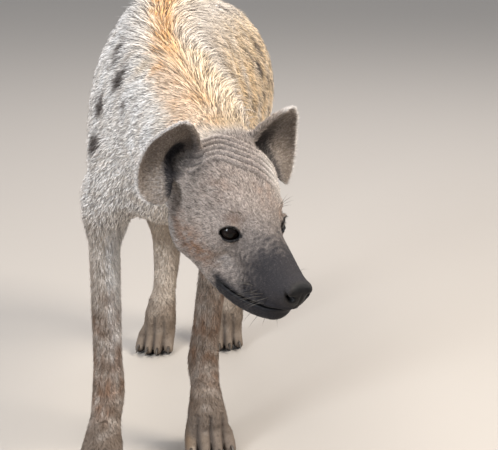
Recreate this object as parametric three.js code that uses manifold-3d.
// A life-size spotted hyena that stands with its head lowered and turned to its left.
// Millimetres, +Z up, the animal faces -Y and its left side is +X.
// The flesh is one smooth field of rounded masses, meshed part by part and parted by thin cuts.
import * as THREE from 'three';
import { mergeVertices } from 'three/addons/utils/BufferGeometryUtils.js';
import Module from 'manifold-3d';

const wasm = await Module();
wasm.setup();

// Driving dimensions
const gap = 0.3; // between touching parts
const withersHeight = 812; // top of the coat over the shoulder blades
const midBackHeight = 780;
const rumpHeight = 738;
const chestFloor = 424; // underside of the chest
const elbowHeight = 440;
const wristHeight = 152;
const hockHeight = 195;
const bodyMidX = 22; // the trunk leans a little to the animal's left over its feet
const ribHalfWidth = 162;
const shoulderHalfWidth = 112;
const standOffset = new THREE.Vector3(-64.7, 167.5, 0); // brings the origin under the middle of the model

// Where the toes of each foot meet the ground, and how far each foot is turned outwards
const frontFeet = {
  right: { side: -1, toes: [-102, -401], wrist: [-77, -326], elbow: [-82, -300], turn: -8 },
  left: { side: 1, toes: [88, -232], wrist: [66, -160], elbow: [96, -190], turn: 14 },
};
const hindFeet = {
  right: { side: -1, toes: [-84, 299], hock: [-62, 404], knee: [-92, 236], turn: -5 },
  left: { side: 1, toes: [62, 336], hock: [66, 440], knee: [112, 262], turn: 8 },
};

// The head has a frame of its own between the eyes: x to its left, y to its back, z up.
const headFrame = new THREE.Matrix4().makeBasis(
  new THREE.Vector3(0.77, 0.638, -0.003).normalize(),
  new THREE.Vector3(-0.589, 0.712, 0.382).normalize(),
  new THREE.Vector3(0.247, -0.292, 0.924).normalize(),
).setPosition(192, -739, 561);

const headPoint = (x, y, z) => new THREE.Vector3(x, y, z).applyMatrix4(headFrame).toArray();
const headWay = (x, y, z) => new THREE.Vector3(x, y, z).transformDirection(headFrame).toArray();

// A small kit of vectors as plain arrays
const add = (a, b) => [a[0] + b[0], a[1] + b[1], a[2] + b[2]];
const sub = (a, b) => [a[0] - b[0], a[1] - b[1], a[2] - b[2]];
const scale = (a, s) => [a[0] * s, a[1] * s, a[2] * s];
const dot = (a, b) => a[0] * b[0] + a[1] * b[1] + a[2] * b[2];
const cross = (a, b) => [a[1] * b[2] - a[2] * b[1], a[2] * b[0] - a[0] * b[2], a[0] * b[1] - a[1] * b[0]];
const unit = (a) => scale(a, 1 / Math.hypot(...a));
const mix = (a, b, t) => a.map((v, i) => v + (b[i] - v) * t);
const clamp = (v, low, high) => Math.min(high, Math.max(low, v));

// A curve through rows of numbers: each row is a centre and its radii, and the rows between are eased.
function smoothRows(rows, steps) {
  const out = [];
  for (let i = 0; i < rows.length - 1; i++) {
    const last = rows.length - 1;
    const [p0, p1, p2, p3] = [rows[Math.max(0, i - 1)], rows[i], rows[i + 1], rows[Math.min(last, i + 2)]];
    for (let s = 0; s < steps; s++) {
      const t = s / steps;
      out.push(p1.map((v, k) => {
        const turn = 2 * p0[k] - 5 * v + 4 * p2[k] - p3[k];
        const swing = 3 * v - p0[k] - 3 * p2[k] + p3[k];
        return v + 0.5 * ((p2[k] - p0[k]) * t + turn * t * t + swing * t * t * t);
      }));
    }
  }
  out.push(rows[rows.length - 1]);
  return out;
}

// The masses of the body. Each is a run of centres with a half width along side and a half depth across it.
const masses = [];
function mass(rows, { side = [1, 0, 0], blend = 20, steps = 4 } = {}) {
  const eased = rows.length > 2 ? smoothRows(rows, steps) : rows;
  const reach = Math.max(...eased.map((r) => Math.max(r[3], r[4])));
  const low = [0, 1, 2].map((k) => Math.min(...eased.map((r) => r[k])) - reach - blend);
  const high = [0, 1, 2].map((k) => Math.max(...eased.map((r) => r[k])) + reach + blend);
  masses.push({ rows: eased, side: unit(side), blend, low, high });
}
const headMass = (rows, options = {}) => mass(
  rows.map(([x, y, z, w, h]) => [...headPoint(x, y, z), w, h]),
  { side: headWay(1, 0, 0), blend: 12, ...options },
);

// Distance from a point to one mass: negative inside, along the line to the nearest centre
function massDistance(m, p) {
  let best = Infinity;
  for (let i = 0; i < Math.max(1, m.rows.length - 1); i++) {
    const a = m.rows[i], b = m.rows[Math.min(i + 1, m.rows.length - 1)];
    const ab = [b[0] - a[0], b[1] - a[1], b[2] - a[2]];
    const ap = [p[0] - a[0], p[1] - a[1], p[2] - a[2]];
    const t = clamp(dot(ap, ab) / (dot(ab, ab) + 1e-9), 0, 1);
    const q = [ap[0] - ab[0] * t, ap[1] - ab[1] * t, ap[2] - ab[2] * t];
    const wide = a[3] + (b[3] - a[3]) * t, deep = a[4] + (b[4] - a[4]) * t;
    const u = dot(q, m.side), away = dot(q, q), rest = Math.max(0, away - u * u);
    const k = Math.sqrt((u * u) / (wide * wide) + rest / (deep * deep));
    const d = k > 1e-6 ? Math.sqrt(away) * (1 - 1 / k) : -Math.min(wide, deep);
    best = Math.min(best, d);
  }
  return best;
}

// Smooth union of all masses
function flesh(p) {
  let d = 1e3;
  for (const m of masses) {
    const { low: l, high: g } = m;
    if (p[0] < l[0] || p[1] < l[1] || p[2] < l[2] || p[0] > g[0] || p[1] > g[1] || p[2] > g[2]) continue;
    const e = massDistance(m, p);
    const h = Math.max(m.blend - Math.abs(d - e), 0) / m.blend;
    d = Math.min(d, e) - h * h * m.blend * 0.25;
  }
  return d;
}

// Trunk: from the front of the chest to the buttocks
const trunkRow = (y, x, top, floor, half) => [x, y, (top + floor) / 2, half, (top - floor) / 2];
mass([
  trunkRow(-350, bodyMidX, withersHeight - 26, chestFloor + 54, 92),
  trunkRow(-270, bodyMidX, withersHeight, chestFloor + 10, shoulderHalfWidth),
  trunkRow(-120, bodyMidX, (withersHeight + midBackHeight) / 2, chestFloor - 6, ribHalfWidth - 14),
  trunkRow(30, bodyMidX, midBackHeight, chestFloor, ribHalfWidth),
  trunkRow(170, bodyMidX - 4, (midBackHeight + rumpHeight) / 2 + 2, chestFloor + 30, ribHalfWidth - 12),
  trunkRow(280, bodyMidX - 8, rumpHeight - 12, chestFloor + 88, 122),
  trunkRow(345, bodyMidX - 10, rumpHeight - 66, chestFloor + 128, 80),
], { blend: 30 });

// Neck: thick and low, it swings to the animal's left
mass([
  [bodyMidX, -290, 640, 104, 146],
  [32, -400, 657, 100, 128],
  [64, -500, 648, 92, 112],
  [104, -590, 625, 84, 98],
  [133, -652, 602, 72, 82],
], { side: unit([0.93, 0.36, 0]), blend: 40 });

// Shoulder blades and upper arms
for (const f of Object.values(frontFeet)) {
  const x = (v) => bodyMidX + f.side * v;
  mass([
    [x(38), -262, 752, 30, 46],
    [x(66), -318, 660, 44, 66],
    [x(76), (-372 + f.elbow[1]) / 2 - 30, 560, 48, 66],
    [f.elbow[0] - f.side * 6, f.elbow[1] + 8, 466, 42, 58],
  ], { blend: 46 });
}

// Forearms, wrists and pasterns
for (const f of Object.values(frontFeet)) {
  const [ex, ey] = f.elbow, [wx, wy] = f.wrist, [tx, ty] = f.toes;
  mass([
    [ex, ey, 492, 38, 54],
    [ex, ey, elbowHeight - 20, 33, 46],
    [ex + (wx - ex) * 0.35, ey + (wy - ey) * 0.4, 330, 28.5, 36],
    [ex + (wx - ex) * 0.8, ey + (wy - ey) * 0.8, 225, 26.5, 28],
    [wx, wy, wristHeight + 8, 29, 29],
    [wx + (tx - wx) * 0.2, wy + (ty - wy) * 0.2, 108, 27, 24],
    [wx + (tx - wx) * 0.42, wy + (ty - wy) * 0.42, 62, 33, 24],
  ], { blend: 26 });
}

// Thighs, shanks, hocks and hind pasterns
for (const f of Object.values(hindFeet)) {
  const [hx, hy] = f.hock, [kx, ky] = f.knee, [tx, ty] = f.toes;
  const x = (v) => bodyMidX - 10 + f.side * v;
  mass([
    [x(62), 292, 632, 54, 92],
    [x(84), 284, 540, 50, 94],
    [kx, ky + 36, 440, 42, 68],
    [kx + (hx - kx) * 0.4, ky + (hy - ky) * 0.5 + 8, 340, 35, 48],
    [kx + (hx - kx) * 0.85, ky + (hy - ky) * 0.86, 252, 29, 34],
    [hx, hy - 6, hockHeight, 30, 32],
    [hx + (tx - hx) * 0.12, hy + (ty - hy) * 0.26, 130, 25, 25],
    [hx + (tx - hx) * 0.4, hy + (ty - hy) * 0.44, 62, 29, 24],
  ], { blend: 34 });
  mass([[hx, hy + 18, hockHeight + 8, 13, 15], [hx, hy + 14, hockHeight - 24, 12, 15]], { blend: 16 });
}

// Feet: four toes each, with a knuckle, a blunt tip and a broad pad behind
const feet = {};
function foot(name, { toes: [tx, ty], turn }, toeGap, toeLength, toeRadius) {
  const angle = THREE.MathUtils.degToRad(turn);
  const along = [Math.sin(angle), -Math.cos(angle), 0], across = [Math.cos(angle), Math.sin(angle), 0];
  const at = (right, forward, up) => add(add([tx, ty, up], scale(across, right)), scale(along, forward));
  const toeList = [];
  for (let i = 0; i < 4; i++) {
    const slot = i - 1.5;
    const short = Math.abs(slot) > 1 ? 13 : 0; // the outer toes are set back
    const root = at(slot * toeGap * 0.62, -toeLength * 1.5 - short, 44);
    const knuckle = at(slot * toeGap * 0.92, -toeLength * 0.72 - short, toeRadius * 2.35);
    const tip = at(slot * toeGap, -toeRadius - short, toeRadius - 1.5);
    mass([
      [...root, toeRadius * 1.05, toeRadius * 1.25],
      [...knuckle, toeRadius * 0.98, toeRadius * 1.02],
      [...tip, toeRadius * 0.93, toeRadius * 0.95],
    ], { side: across, blend: 7 });
    const behind = at(slot * toeGap * 0.92, -toeLength * 0.72 - short, tip[2]);
    toeList.push({ tip, forward: unit(sub(tip, behind)) });
  }
  const heel = at(0, -toeLength * 1.5, 20), ball = at(0, -toeLength * 0.8, 16);
  mass([[...heel, toeGap * 1.35, 22], [...ball, toeGap * 1.3, 18]], { side: across, blend: 12 });
  feet[name] = { toeList, toeRadius };
}
for (const [name, f] of Object.entries(frontFeet)) foot(`front_${name}`, f, 23, 44, 12.6);
for (const [name, f] of Object.entries(hindFeet)) foot(`hind_${name}`, f, 20, 40, 11.4);

// Tail: hangs behind the thighs and ends in a brush
const tailPath = [
  [bodyMidX - 10, 350, 668, 30, 34],
  [bodyMidX - 9, 402, 640, 25, 27],
  [bodyMidX - 8, 436, 588, 21, 22],
  [bodyMidX - 7, 450, 520, 18, 18],
  [bodyMidX - 6, 452, 462, 15, 15],
];
mass(tailPath, { blend: 22 });

// Head: skull, muzzle and lower jaw
headMass([
  [0, 128, 0, 62, 60],
  [0, 92, 4, 64, 62],
  [0, 50, 0, 61, 58],
  [0, 12, -14, 45, 50],
  [0, -26, -24, 36, 42],
  [0, -62, -32, 30, 36],
  [0, -90, -36, 28, 29],
  [0, -99, -36, 27, 27],
], { blend: 34 });
headMass([
  [0, 88, -52, 58, 46],
  [0, 34, -67, 56, 44],
  [0, -20, -77, 46, 37],
  [0, -58, -77, 36, 29],
  [0, -82, -75, 26, 21],
], { blend: 14 });
for (const side of [-1, 1]) {
  headMass([[side * 52, 64, -36, 27, 44], [side * 49, 34, -36, 23, 34]], { blend: 24 }); // chewing muscle
  headMass([[side * 54, 48, -2, 15, 18], [side * 46, 14, -26, 11, 12]], { blend: 14 }); // cheekbone
  headMass([[side * 28, 66, 34, 32, 26], [side * 26, 34, 28, 24, 18]], { blend: 20 }); // temple
  headMass([[side * 22, 6, 24, 15, 11], [side * 38, 12, 20, 10, 9]], { blend: 12 }); // brow
  headMass([[side * 44, 112, 34, 28, 28], [side * 66, 114, 32, 22, 26]], { blend: 20 }); // ear root
  headMass([[side * 22, -58, -50, 13, 20], [side * 17, -88, -48, 11, 16]], { blend: 12 }); // upper lip pad
}

// The corners, edges and faces of one cell of a grid. An edge is its low corner and its axis.
const axes = [[1, 0, 0], [0, 1, 0], [0, 0, 1]];
const cellCorners = [0, 1, 2, 3, 4, 5, 6, 7].map((c) => [c & 1, (c >> 1) & 1, c >> 2]);
const cornerNumber = (c) => c[0] + 2 * c[1] + 4 * c[2];
const cellEdges = axes.flatMap((axis, k) => cellCorners.filter((c) => !c[k])
  .map((c) => ({ k, from: cornerNumber(c), to: cornerNumber(add(c, axis)) })));
const edgeNumber = (k, corner) => cellEdges.findIndex((e) => e.k === k && e.from === cornerNumber(corner));
const cellFaces = axes.flatMap((axis, k) => [0, 1].map((side) => {
  const face = cellCorners.filter((c) => c[k] === side).map(cornerNumber);
  const onFace = (n) => face.includes(cellEdges[n].from) && face.includes(cellEdges[n].to);
  return { face, rim: [...cellEdges.keys()].filter(onFace) };
}));

// A net over the surface of the flesh inside a box: one point for each sheet of surface in a cell,
// pushed onto the surface and grown outwards by grow, and one quad for each edge that crosses it
function fleshMesh({ low, high, cell, grow = 0, frame = null }) {
  const toWorld = frame ? (p) => new THREE.Vector3(...p).applyMatrix4(frame).toArray() : (p) => p;
  const [nx, ny, nz] = [0, 1, 2].map((k) => Math.ceil((high[k] - low[k]) / cell[k]) + 1);
  const point = (i, j, k) => [low[0] + i * cell[0], low[1] + j * cell[1], low[2] + k * cell[2]];
  const index = (i, j, k) => (k * ny + j) * nx + i;
  const values = new Float32Array(nx * ny * nz);
  for (let k = 0; k < nz; k++) for (let j = 0; j < ny; j++) for (let i = 0; i < nx; i++) {
    const border = i === 0 || j === 0 || k === 0 || i === nx - 1 || j === ny - 1 || k === nz - 1;
    const d = flesh(toWorld(point(i, j, k)));
    values[index(i, j, k)] = border ? Math.max(d, 1) : d; // the box closes what reaches its sides
  }
  const sheetPoint = new Int32Array(12 * values.length).fill(-1);
  const vertices = [], triangles = [];
  for (let k = 0; k < nz - 1; k++) for (let j = 0; j < ny - 1; j++) for (let i = 0; i < nx - 1; i++) {
    const at = cellCorners.map((c) => values[index(i + c[0], j + c[1], k + c[2])]);
    const crossed = (n) => at[cellEdges[n].from] < 0 !== at[cellEdges[n].to] < 0;
    const all = [...cellEdges.keys()].filter(crossed);
    if (!all.length) continue;
    const group = [...cellEdges.keys()];
    const join = (m, n) => {
      const [from, to] = [group[m], group[n]];
      group.forEach((g, q) => { if (g === from) group[q] = to; });
    };
    for (const { face, rim } of cellFaces) {
      const cut = rim.filter(crossed);
      if (cut.length === 2) join(...cut);
      if (cut.length === 4) for (const c of face) {
        if (at[c] < 0) join(...cut.filter((n) => cellEdges[n].from === c || cellEdges[n].to === c));
      }
    }
    for (const g of new Set(all.map((n) => group[n]))) {
      const sheet = all.filter((n) => group[n] === g);
      let sum = [0, 0, 0];
      for (const n of sheet) {
        const { from, to } = cellEdges[n];
        const [a, b] = [from, to].map((c) => point(...add([i, j, k], cellCorners[c])));
        sum = add(sum, mix(a, b, at[from] / (at[from] - at[to])));
        sheetPoint[12 * index(i, j, k) + n] = vertices.length;
      }
      vertices.push(settle(toWorld(scale(sum, 1 / sheet.length)), grow));
    }
  }
  for (let k = 0; k < nz - 1; k++) for (let j = 0; j < ny - 1; j++) for (let i = 0; i < nx - 1; i++) {
    axes.forEach((step, axis) => {
      const here = values[index(i, j, k)], there = values[index(i + step[0], j + step[1], k + step[2])];
      if (here < 0 === there < 0) return;
      const u = axes[(axis + 1) % 3], v = axes[(axis + 2) % 3];
      const quad = [[0, 0], [1, 0], [1, 1], [0, 1]].map(([p, q]) => {
        const back = add(scale(u, p), scale(v, q));
        return sheetPoint[12 * index(i - back[0], j - back[1], k - back[2]) + edgeNumber(axis, back)];
      });
      if (here >= 0) quad.reverse();
      const [a, b, c, d] = quad;
      const span = (m, n) => Math.hypot(...sub(vertices[m], vertices[n]));
      const long = span(a, c) > span(b, d);
      triangles.push(...(long ? [a, b, d, b, c, d] : [a, b, c, a, c, d]));
    });
  }
  return solidFrom(vertices.flat(), triangles);
}

// Slides a point along the field's slope onto the surface, or to a set distance outside it
const slopeStep = 0.5;
function slope(p) {
  return [0, 1, 2].map((k) => {
    const e = [0, 0, 0];
    e[k] = slopeStep;
    return (flesh(add(p, e)) - flesh(sub(p, e))) / (2 * slopeStep);
  });
}
const farthestSlide = 6;
function settle(start, grow = 0) {
  let p = start;
  if (Math.abs(flesh(p)) > farthestSlide) return p; // a corner of the box, which is cut away later
  for (let i = 0; i < 3; i++) {
    const g = slope(p);
    p = sub(p, scale(g, flesh(p) / (dot(g, g) + 1e-6)));
  }
  return Math.hypot(...sub(p, start)) < 3 * farthestSlide ? add(p, scale(unit(slope(p)), grow)) : start;
}

// Where a straight line from a point outside first meets the flesh
function meet(from, way, reach = 400) {
  const step = unit(way);
  let low = 0;
  while (low < reach && flesh(add(from, scale(step, low))) > 0) low += 4;
  let high = low;
  low -= 4;
  for (let i = 0; i < 8; i++) {
    const middle = (low + high) / 2;
    if (flesh(add(from, scale(step, middle))) > 0) low = middle;
    else high = middle;
  }
  return add(from, scale(step, high));
}

// Solids from vertices and triangles, and from three.js geometry
function solidFrom(vertexValues, triangleValues) {
  return new wasm.Manifold(new wasm.Mesh({
    numProp: 3,
    vertProperties: new Float32Array(vertexValues),
    triVerts: new Uint32Array(triangleValues),
  }));
}
function solidOf(geometry, matrix = new THREE.Matrix4()) {
  const g = geometry.clone().deleteAttribute('normal').deleteAttribute('uv').applyMatrix4(matrix);
  const merged = mergeVertices(g, 1e-4);
  return solidFrom(merged.attributes.position.array, merged.index.array);
}
function geometryOf(solid) {
  const mesh = largest(solid).getMesh();
  const g = new THREE.BufferGeometry();
  g.setAttribute('position', new THREE.BufferAttribute(new Float32Array(mesh.vertProperties), 3));
  g.setIndex(new THREE.BufferAttribute(new Uint32Array(mesh.triVerts), 1));
  g.computeVertexNormals();
  return g;
}
const largest = (solid) => solid.decompose().sort((a, b) => b.volume() - a.volume())[0];

// Half spaces and prisms that part the flesh. A cut keeps half the gap on each side.
const big = 3000;
function halfSpace(point, way, margin = gap / 2) {
  const z = new THREE.Vector3(...unit(way));
  const turn = new THREE.Quaternion().setFromUnitVectors(new THREE.Vector3(0, 0, 1), z);
  const centre = new THREE.Vector3(...point).addScaledVector(z, big / 2 + margin);
  const place = new THREE.Matrix4().compose(centre, turn, new THREE.Vector3(1, 1, 1));
  return solidOf(new THREE.BoxGeometry(big, big, big), place);
}
// A prism along Y over an outline in X and Z
function prismAlongY(outline, front, back) {
  const shape = new THREE.Shape(outline.map(([x, z]) => new THREE.Vector2(x, z)));
  return solidOf(
    new THREE.ExtrudeGeometry(shape, { depth: back - front, bevelEnabled: false }),
    new THREE.Matrix4().makeRotationX(Math.PI / 2).setPosition(0, back, 0),
  );
}
const above = (z, margin) => halfSpace([0, 0, z], [0, 0, 1], margin);
const below = (z, margin) => halfSpace([0, 0, z], [0, 0, -1], margin);

// A closed tube of flat rings along a path: rows are a centre, a half width along side and a half depth
function sweep(rows, side, sides = 8) {
  const vertices = [], triangles = [];
  rows.forEach((row, i) => {
    const before = rows[Math.max(0, i - 1)], after = rows[Math.min(rows.length - 1, i + 1)];
    const along = unit(sub(after.slice(0, 3), before.slice(0, 3)));
    const wide = unit(sub(side, scale(along, dot(side, along))));
    const deep = cross(along, wide);
    for (let s = 0; s < sides; s++) {
      const a = (2 * Math.PI * s) / sides;
      const out = add(scale(wide, row[3] * Math.cos(a)), scale(deep, row[4] * Math.sin(a)));
      vertices.push(add(row.slice(0, 3), out));
    }
  });
  const last = rows.length - 1;
  for (let i = 0; i < last; i++) for (let s = 0; s < sides; s++) {
    const n = (s + 1) % sides;
    const [a, b, c, d] = [i * sides + s, i * sides + n, (i + 1) * sides + n, (i + 1) * sides + s];
    triangles.push(a, b, c, a, c, d);
  }
  for (let s = 1; s < sides - 1; s++) {
    triangles.push(0, s + 1, s);
    triangles.push(last * sides, last * sides + s, last * sides + s + 1);
  }
  return solidFrom(vertices.flat(), triangles);
}

// A flat lock of hair: its root lies in the flesh, and it arches along its lie and tapers to its tip
let seed = 7;
function chance() {
  seed = (seed * 16807) % 2147483647;
  return seed / 2147483647 - 0.5;
}
function lock(root, lie, out, { length, width, thickness, lift, sink = 10, tip = 0.4 }) {
  const away = unit(sub(out, scale(lie, dot(out, lie))));
  const at = (along, up, wide, thick) => {
    const centre = add(add(root, scale(lie, length * along)), scale(away, up));
    return [...centre, width * wide, thickness * thick];
  };
  return sweep([
    at(-0.1, -sink, 0.6, 0.9),
    at(0.32, lift * 0.7, 1, 1),
    at(0.7, lift, 0.7, 0.75),
    at(1, lift * tip, 0.08, 0.2),
  ], cross(away, lie), 4);
}

// Where the parts meet
const neckCut = { point: [28, -388, 660], way: [0.14, -0.92, 0.36] };
const headCut = { point: headPoint(0, 142, 10), way: headWay(0, 1, 0.06) };
const loinCut = { point: [0, 60, 600], way: [0, 1, 0] };
const pawHeight = 126;
const shankHeight = 352;
const armOutline = (side) => [[24, -30], [24, 404], [62, 424], [150, 500], [330, 520], [330, -30]]
  .map(([x, z]) => [side * x + (side > 0 ? 8 : 6), z]);
const thighOutline = (side) => [[2, -30], [2, 470], [40, 506], [120, 640], [330, 700], [330, -30]]
  .map(([x, z]) => [side * x + 6, z]);
const legCutters = [];
function legCutter(outline, side, front, back) {
  const ordered = side > 0 ? outline : [...outline].reverse();
  const grown = ordered.map(([x, z]) => [x - side * gap, z + (z > 0 ? gap : 0)]);
  legCutters.push(prismAlongY(grown, front - gap, back + gap));
  return prismAlongY(ordered, front, back);
}
const armCutters = {}, thighCutters = {};
for (const [name, f] of Object.entries(frontFeet)) {
  armCutters[name] = legCutter(armOutline(f.side), f.side, f.toes[1] - 60, f.elbow[1] + 74);
}
for (const [name, f] of Object.entries(hindFeet)) {
  thighCutters[name] = legCutter(thighOutline(f.side), f.side, 130, 560);
}
const tailCutter = (grow) => solidOf(
  new THREE.BoxGeometry(120 + 2 * grow, 200 + 2 * grow, 420 + 2 * grow),
  new THREE.Matrix4().makeTranslation(bodyMidX - 8, 506, 500),
);

// The parts
const coat = new THREE.MeshStandardMaterial({ color: 0xb9a283, roughness: 0.95 });
const darkCoat = new THREE.MeshStandardMaterial({ color: 0x6b5a4b, roughness: 0.95 });
const faceCoat = new THREE.MeshStandardMaterial({ color: 0x7d7068, roughness: 0.9 });
const noseSkin = new THREE.MeshStandardMaterial({ color: 0x1d1b1d, roughness: 0.5 });
const horn = new THREE.MeshStandardMaterial({ color: 0x2a2522, roughness: 0.5 });
const eyeGlass = new THREE.MeshStandardMaterial({ color: 0x150d08, roughness: 0.05 });

const hyena = new THREE.Group();
function addPart(name, solid, material) {
  const mesh = new THREE.Mesh(geometryOf(solid), material);
  mesh.name = name;
  mesh.position.copy(standOffset);
  hyena.add(mesh);
}

// The short mane: rows of locks along a line over the nape or the withers, laid towards the tail
const maneLock = { length: 86, width: 14, thickness: 6, lift: 9 };
const maneRowOffsets = [-34, -11, 13, 35];
const witherLine = { start: [26, -372, 1000], end: [bodyMidX, -120, 1000] };
const napeLine = { start: [143, -628, 900], end: [44, -452, 960] };
function maneOver([first, last], { start, end }, rows) {
  const along = unit([end[0] - start[0], end[1] - start[1], 0]);
  const across = [along[1], -along[0], 0];
  const locks = [];
  for (let row = 0; row < rows; row++) for (const offset of maneRowOffsets) {
    const t = first + ((last - first) * (row + 0.35 * chance() + (offset > 0 ? 0.5 : 0) * 0.6)) / rows;
    const from = add(mix(start, end, t), scale(across, offset + 6 * chance()));
    const root = meet(from, [0, 0, -1], 700);
    const out = unit(slope(root));
    const lie = unit(sub(add(along, [0.24 * chance(), 0, 0]), scale(out, dot(along, out))));
    locks.push(lock(root, lie, out, { ...maneLock, length: maneLock.length * (1 + 0.3 * chance()) }));
  }
  return locks.reduce((all, one) => all.add(one));
}

// Trunk, in a fore and a hind part
const trunkCell = [38, 42, 37];
let trunk = fleshMesh({ low: [-190, -470, 350], high: [230, 470, 840], cell: trunkCell });
for (const cutter of legCutters) trunk = trunk.subtract(cutter);
trunk = trunk.subtract(halfSpace(neckCut.point, neckCut.way, -gap / 2)).subtract(tailCutter(gap));
let chest = largest(trunk.subtract(halfSpace(loinCut.point, loinCut.way, -gap / 2)));
chest = chest.add(maneOver([0.04, 1], witherLine, 4))
  .subtract(halfSpace(neckCut.point, neckCut.way, -gap / 2));
addPart('chest', chest, coat);
addPart('hindquarters', trunk.intersect(halfSpace(loinCut.point, loinCut.way)), coat);

// Legs
for (const [name, f] of Object.entries(frontFeet)) {
  const leg = fleshMesh({
    low: [f.side < 0 ? -230 : -10, f.toes[1] - 60, 60],
    high: [f.side < 0 ? 10 : 230, f.toes[1] + 260, 560],
    cell: [19, 20, 34],
  }).intersect(armCutters[name]);
  addPart(`foreleg_${name}`, leg.intersect(above(pawHeight)), coat);
}
for (const [name, f] of Object.entries(hindFeet)) {
  const leg = fleshMesh({
    low: [f.side < 0 ? -230 : -40, 110, 60],
    high: [f.side < 0 ? 40 : 230, 520, 740],
    cell: [25, 27, 31],
  }).intersect(thighCutters[name]).subtract(tailCutter(gap));
  addPart(`thigh_${name}`, leg.intersect(above(shankHeight)), coat);
  addPart(`shank_${name}`, leg.intersect(below(shankHeight)).intersect(above(pawHeight)), coat);
}

// Paws and claws
const clawLength = 17;
function claw({ tip, forward }, toeRadius, grow) {
  const side = cross(forward, [0, 0, 1]);
  const at = (f, up, r) => [...add(add(tip, scale(forward, f)), [0, 0, up]), r * 0.72 + grow, r + grow];
  return sweep([
    at(toeRadius * 0.3 - grow, 4.4, 5),
    at(toeRadius * 0.3 + clawLength * 0.5, 4.0, 4.3),
    at(toeRadius * 0.3 + clawLength * 1.1, -3, 1.3),
  ], side, 6);
}
function paw(name, limb, shortName, f, cutter, cell) {
  let body = fleshMesh({
    low: [f.toes[0] - 72, f.toes[1] - 22, -30],
    high: [f.toes[0] + 72, f.toes[1] + 128, pawHeight + 24],
    cell,
  }).intersect(cutter).intersect(below(pawHeight)).intersect(above(0, 0));
  const { toeList, toeRadius } = feet[name];
  toeList.forEach((toe, i) => {
    body = body.subtract(claw(toe, toeRadius, gap));
    addPart(`claw_${limb}_${shortName}_${i + 1}`, claw(toe, toeRadius, 0), horn);
  });
  addPart(`paw_${limb}_${shortName}`, body, darkCoat);
}
for (const [name, f] of Object.entries(frontFeet)) {
  paw(`front_${name}`, 'front', name, f, armCutters[name], [13.5, 15, 15]);
}
for (const [name, f] of Object.entries(hindFeet)) {
  paw(`hind_${name}`, 'hind', name, f, thighCutters[name], [13.5, 15, 15]);
}

// Tail: a slim core that ends half way down a brush of long locks
const core = sweep([
  [bodyMidX - 6, 451, 500, 15, 15],
  [bodyMidX - 6, 453, 455, 19, 18],
  [bodyMidX - 6, 454, 410, 13, 12],
  [bodyMidX - 6, 453, 378, 4, 4],
], [1, 0, 0], 8);
const brushLock = { length: 132, width: 14, thickness: 7.5, lift: 13, sink: 7, tip: -0.5 };
const brushRings = [{ z: 504, radius: 13 }, { z: 462, radius: 16 }, { z: 420, radius: 12 }];
const brushCount = 5;
let tail = largest(fleshMesh({ low: [-60, 380, 430], high: [90, 500, 720], cell: [15, 15, 26] })
  .intersect(tailCutter(0))).add(core);
brushRings.forEach(({ z, radius }, ring) => {
  for (let i = 0; i < brushCount; i++) {
    const a = (2 * Math.PI * (i + 0.5 * ring + 0.4 * chance())) / brushCount;
    const out = [Math.cos(a), Math.sin(a), 0];
    const root = add([bodyMidX - 6, 453, z + 14 * chance()], scale(out, radius));
    const lie = unit([0.1 * out[0] + 0.08 * chance(), 0.1 * out[1], -1]);
    tail = tail.add(lock(root, lie, out, { ...brushLock, length: brushLock.length * (1 + 0.24 * chance()) }));
  }
});
addPart('tail', tail, coat);

// Head, with the eyes, the lids, the nose, the lips and the cut of the mouth
const headCell = [14.4, 14.4, 14.4];
const headBox = { low: [-125, -150, -150], high: [125, 168, 100], cell: headCell, frame: headFrame };
const headFlesh = fleshMesh(headBox);
const headSide = halfSpace(headCut.point, scale(headCut.way, -1));

const eye = { centre: [37.5, 2.5, -4.8], radius: 13.6, way: unit([0.62, -0.74, 0.24]) };
const ballSegments = [12, 8];
function ball(side, radius) {
  const centre = headPoint(side * eye.centre[0], eye.centre[1], eye.centre[2]);
  const place = new THREE.Matrix4().makeTranslation(...centre);
  return solidOf(new THREE.SphereGeometry(radius, ...ballSegments), place);
}
// A lid is an arc round the eye, thickest above
function lidRing(side) {
  const way = headWay(side * eye.way[0], eye.way[1], eye.way[2]);
  const outer = unit(cross(way, headWay(0, 0.25 * side, 1)));
  const up = cross(outer, way);
  const centre = add(headPoint(side * eye.centre[0], eye.centre[1], eye.centre[2]), scale(way, 7.2));
  const around = 14, profile = 5, vertices = [], triangles = [];
  for (let i = 0; i < around; i++) {
    const a = (2 * Math.PI * i) / around;
    const out = add(scale(outer, Math.cos(a)), scale(up, Math.sin(a)));
    const reach = [14.6, 12.4], thick = 2.5 + 0.8 * Math.max(0, Math.sin(a));
    const middle = add(centre, add(scale(outer, reach[0] * Math.cos(a)), scale(up, reach[1] * Math.sin(a))));
    for (let s = 0; s < profile; s++) {
      const b = (2 * Math.PI * s) / profile;
      vertices.push(add(middle, add(scale(out, thick * 1.5 * Math.cos(b)), scale(way, thick * Math.sin(b)))));
    }
  }
  for (let i = 0; i < around; i++) for (let s = 0; s < profile; s++) {
    const j = (i + 1) % around, n = (s + 1) % profile;
    const [a, b, c, d] = [i * profile + s, j * profile + s, j * profile + n, i * profile + n];
    triangles.push(a, b, c, a, c, d);
  }
  const ring = solidFrom(vertices.flat(), triangles);
  return ring.volume() > 0 ? ring : solidFrom(vertices.flat(), triangles.reverse());
}

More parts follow.
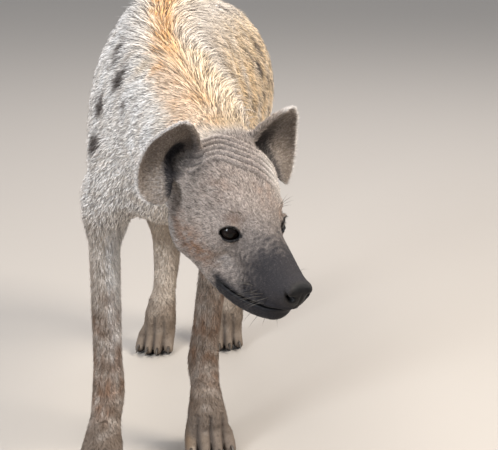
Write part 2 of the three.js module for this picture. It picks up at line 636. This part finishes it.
// Nose leather with two comma-shaped nostrils
const noseCentre = [0, -113, -29];
const noseBall = solidOf(
  new THREE.SphereGeometry(1, 14, 10).scale(21, 13, 16),
  headFrame.clone().multiply(new THREE.Matrix4().makeTranslation(...noseCentre)),
);
const nostril = (side) => sweep([
  [...headPoint(side * 7, -140, -33), 5.2, 4.6],
  [...headPoint(side * 9.5, -124, -31), 4.6, 4.2],
  [...headPoint(side * 11, -113, -28), 3.4, 3.4],
], headWay(0, 0, 1), 8);
const nostrilWing = (side) => sweep([
  [...headPoint(side * 10, -134, -32), 2.4, 2.6],
  [...headPoint(side * 18, -124, -30), 2.2, 2.4],
  [...headPoint(side * 26, -112, -22), 1.6, 1.8],
], headWay(0, 0, 1), 6);

// The mouth: a thin wedge from the corner of the mouth to below the nose parts the lower jaw
const mouthLine = [[-18, -76], [-40, -76], [-66, -73], [-90, -68], [-104, -63], [-124, -60], [-150, -58]];
function mouthHeight(y) {
  const i = Math.max(1, mouthLine.findIndex(([end]) => end <= y));
  const [[y0, z0], [y1, z1]] = [mouthLine[i - 1], mouthLine[i]];
  return z0 + ((z1 - z0) * (y - y0)) / (y1 - y0);
}
function jawPrism(grow) {
  const raised = mouthLine.map(([y, z]) => new THREE.Vector2(y, z + grow));
  raised[0].x += grow;
  const shape = new THREE.Shape([
    ...raised, new THREE.Vector2(-150, -140), new THREE.Vector2(14 + grow, -140),
  ]);
  const width = 240;
  const along = new THREE.Matrix4().makeBasis(
    new THREE.Vector3(0, 1, 0), new THREE.Vector3(0, 0, 1), new THREE.Vector3(1, 0, 0),
  ).setPosition(-width / 2, 0, 0);
  const wedge = new THREE.ExtrudeGeometry(shape, { depth: width, bevelEnabled: false });
  return solidOf(wedge, headFrame.clone().multiply(along));
}

// Ears: a rounded cup from its rim in to its deepest point, close to the side of the head
const earRim = [
  [38, 107, 60], [62, 100, 98], [88, 91, 120], [109, 99, 104], [124, 109, 76],
  [132, 108, 40], [129, 98, 9], [115, 85, -2], [98, 76, 5], [72, 90, 30],
]; // inner root, front edge, tip, outer edge, lower lobe, notch
const earDeep = [68, 128, 28];
const earMiddle = [92, 98, 54];
const earFocus = [92, 18, 56]; // the walls thicken away from this point in front of the cup
function earSolid(side, wall, filled) {
  const loop = smoothRows([...earRim, earRim[0]], 2).slice(0, -1);
  const around = loop.length, rings = 3, vertices = [], triangles = [];
  const at = (layer, ring, s) => (layer * rings + ring) * around + (s % around);
  const wide = filled ? 1.012 : 1;
  const front = filled ? -3 * gap : 0;
  const sheet = (layer, p, thick) => add(p, scale(unit(sub(p, earFocus)), layer ? thick : front));
  for (const layer of [0, 1]) for (let ring = 0; ring < rings; ring++) for (const rim of loop) {
    const r = ring / rings;
    const p = add(earMiddle, scale(sub(mix(rim, earDeep, r), earMiddle), wide));
    p[1] = rim[1] + (earDeep[1] - rim[1]) * r ** 0.8;
    vertices.push(sheet(layer, p, wall * (0.6 + 0.4 * Math.min(1, 2 * r))));
  }
  vertices.push(sheet(0, earDeep, 0), sheet(1, earDeep, wall));
  const deep = 2 * rings * around;
  for (let s = 0; s < around; s++) {
    for (let ring = 0; ring < rings - 1; ring++) {
      const [a, b, c, d] = [at(0, ring, s), at(0, ring, s + 1), at(0, ring + 1, s + 1), at(0, ring + 1, s)];
      if (!filled) triangles.push(a, b, c, a, c, d);
      const [e, f, g, h] = [at(1, ring, s), at(1, ring, s + 1), at(1, ring + 1, s + 1), at(1, ring + 1, s)];
      triangles.push(e, g, f, e, h, g);
    }
    if (!filled) triangles.push(at(0, rings - 1, s), at(0, rings - 1, s + 1), deep);
    triangles.push(at(1, rings - 1, s + 1), at(1, rings - 1, s), deep + 1);
    if (filled) triangles.push(at(0, 0, s), at(0, 0, s + 1), deep);
    triangles.push(at(0, 0, s + 1), at(0, 0, s), at(1, 0, s), at(0, 0, s + 1), at(1, 0, s), at(1, 0, s + 1));
  }
  if (filled) vertices[deep] = [92, 84, 52]; // the plug closes a little in front of the rim
  const placed = vertices.map(([x, y, z]) => headPoint(side * x, y, z)).flat();
  const made = solidFrom(placed, triangles);
  return made.volume() > 0 ? made : solidFrom(placed, triangles.reverse());
}
const earWall = 5.2;

// The lips: a low roll along each side of the mouth's line, above and below
const lipStations = [-27, -46, -66, -86];
function lipRoll(side, drop) {
  return sweep(lipStations.map((y, i) => {
    const z = mouthHeight(y) + drop;
    const from = headPoint(side * 120, y, z), skin = meet(from, headWay(-side, 0, 0));
    return [...add(skin, headWay(-side * 1.5, 0, 0)), 3.4 - 0.4 * i, 4];
  }), headWay(0, 0, 1), 6);
}

let head = headFlesh.add(noseBall);
for (const side of [-1, 1]) for (const drop of [4.2, -4.2]) head = head.add(lipRoll(side, drop));
for (const side of [-1, 1]) head = head.add(lidRing(side));
for (const side of [-1, 1]) {
  head = head.subtract(ball(side, eye.radius + gap)).subtract(nostril(side)).subtract(nostrilWing(side));
  head = head.subtract(earSolid(side, earWall + gap, true));
}
head = head.intersect(headSide);
addPart('lower_jaw', head.intersect(jawPrism(0)), faceCoat);
addPart('head', head.subtract(jawPrism(gap)), faceCoat);
addPart('eye_right', ball(-1, eye.radius), eyeGlass);
addPart('eye_left', ball(1, eye.radius), eyeGlass);
addPart('ear_right', earSolid(-1, earWall, false), faceCoat);
addPart('ear_left', earSolid(1, earWall, false), faceCoat);

// Neck
let neck = fleshMesh({ low: [-150, -800, 420], high: [300, -300, 830], cell: [26, 28, 26] })
  .intersect(halfSpace(neckCut.point, neckCut.way))
  .intersect(halfSpace(headCut.point, headCut.way));
neck = largest(neck).add(maneOver([0, 1], napeLine, 4)).intersect(halfSpace(neckCut.point, neckCut.way))
  .intersect(halfSpace(headCut.point, headCut.way));
for (const side of [-1, 1]) neck = neck.subtract(earSolid(side, earWall + gap, true));
addPart('neck', neck, coat);

export default hyena;
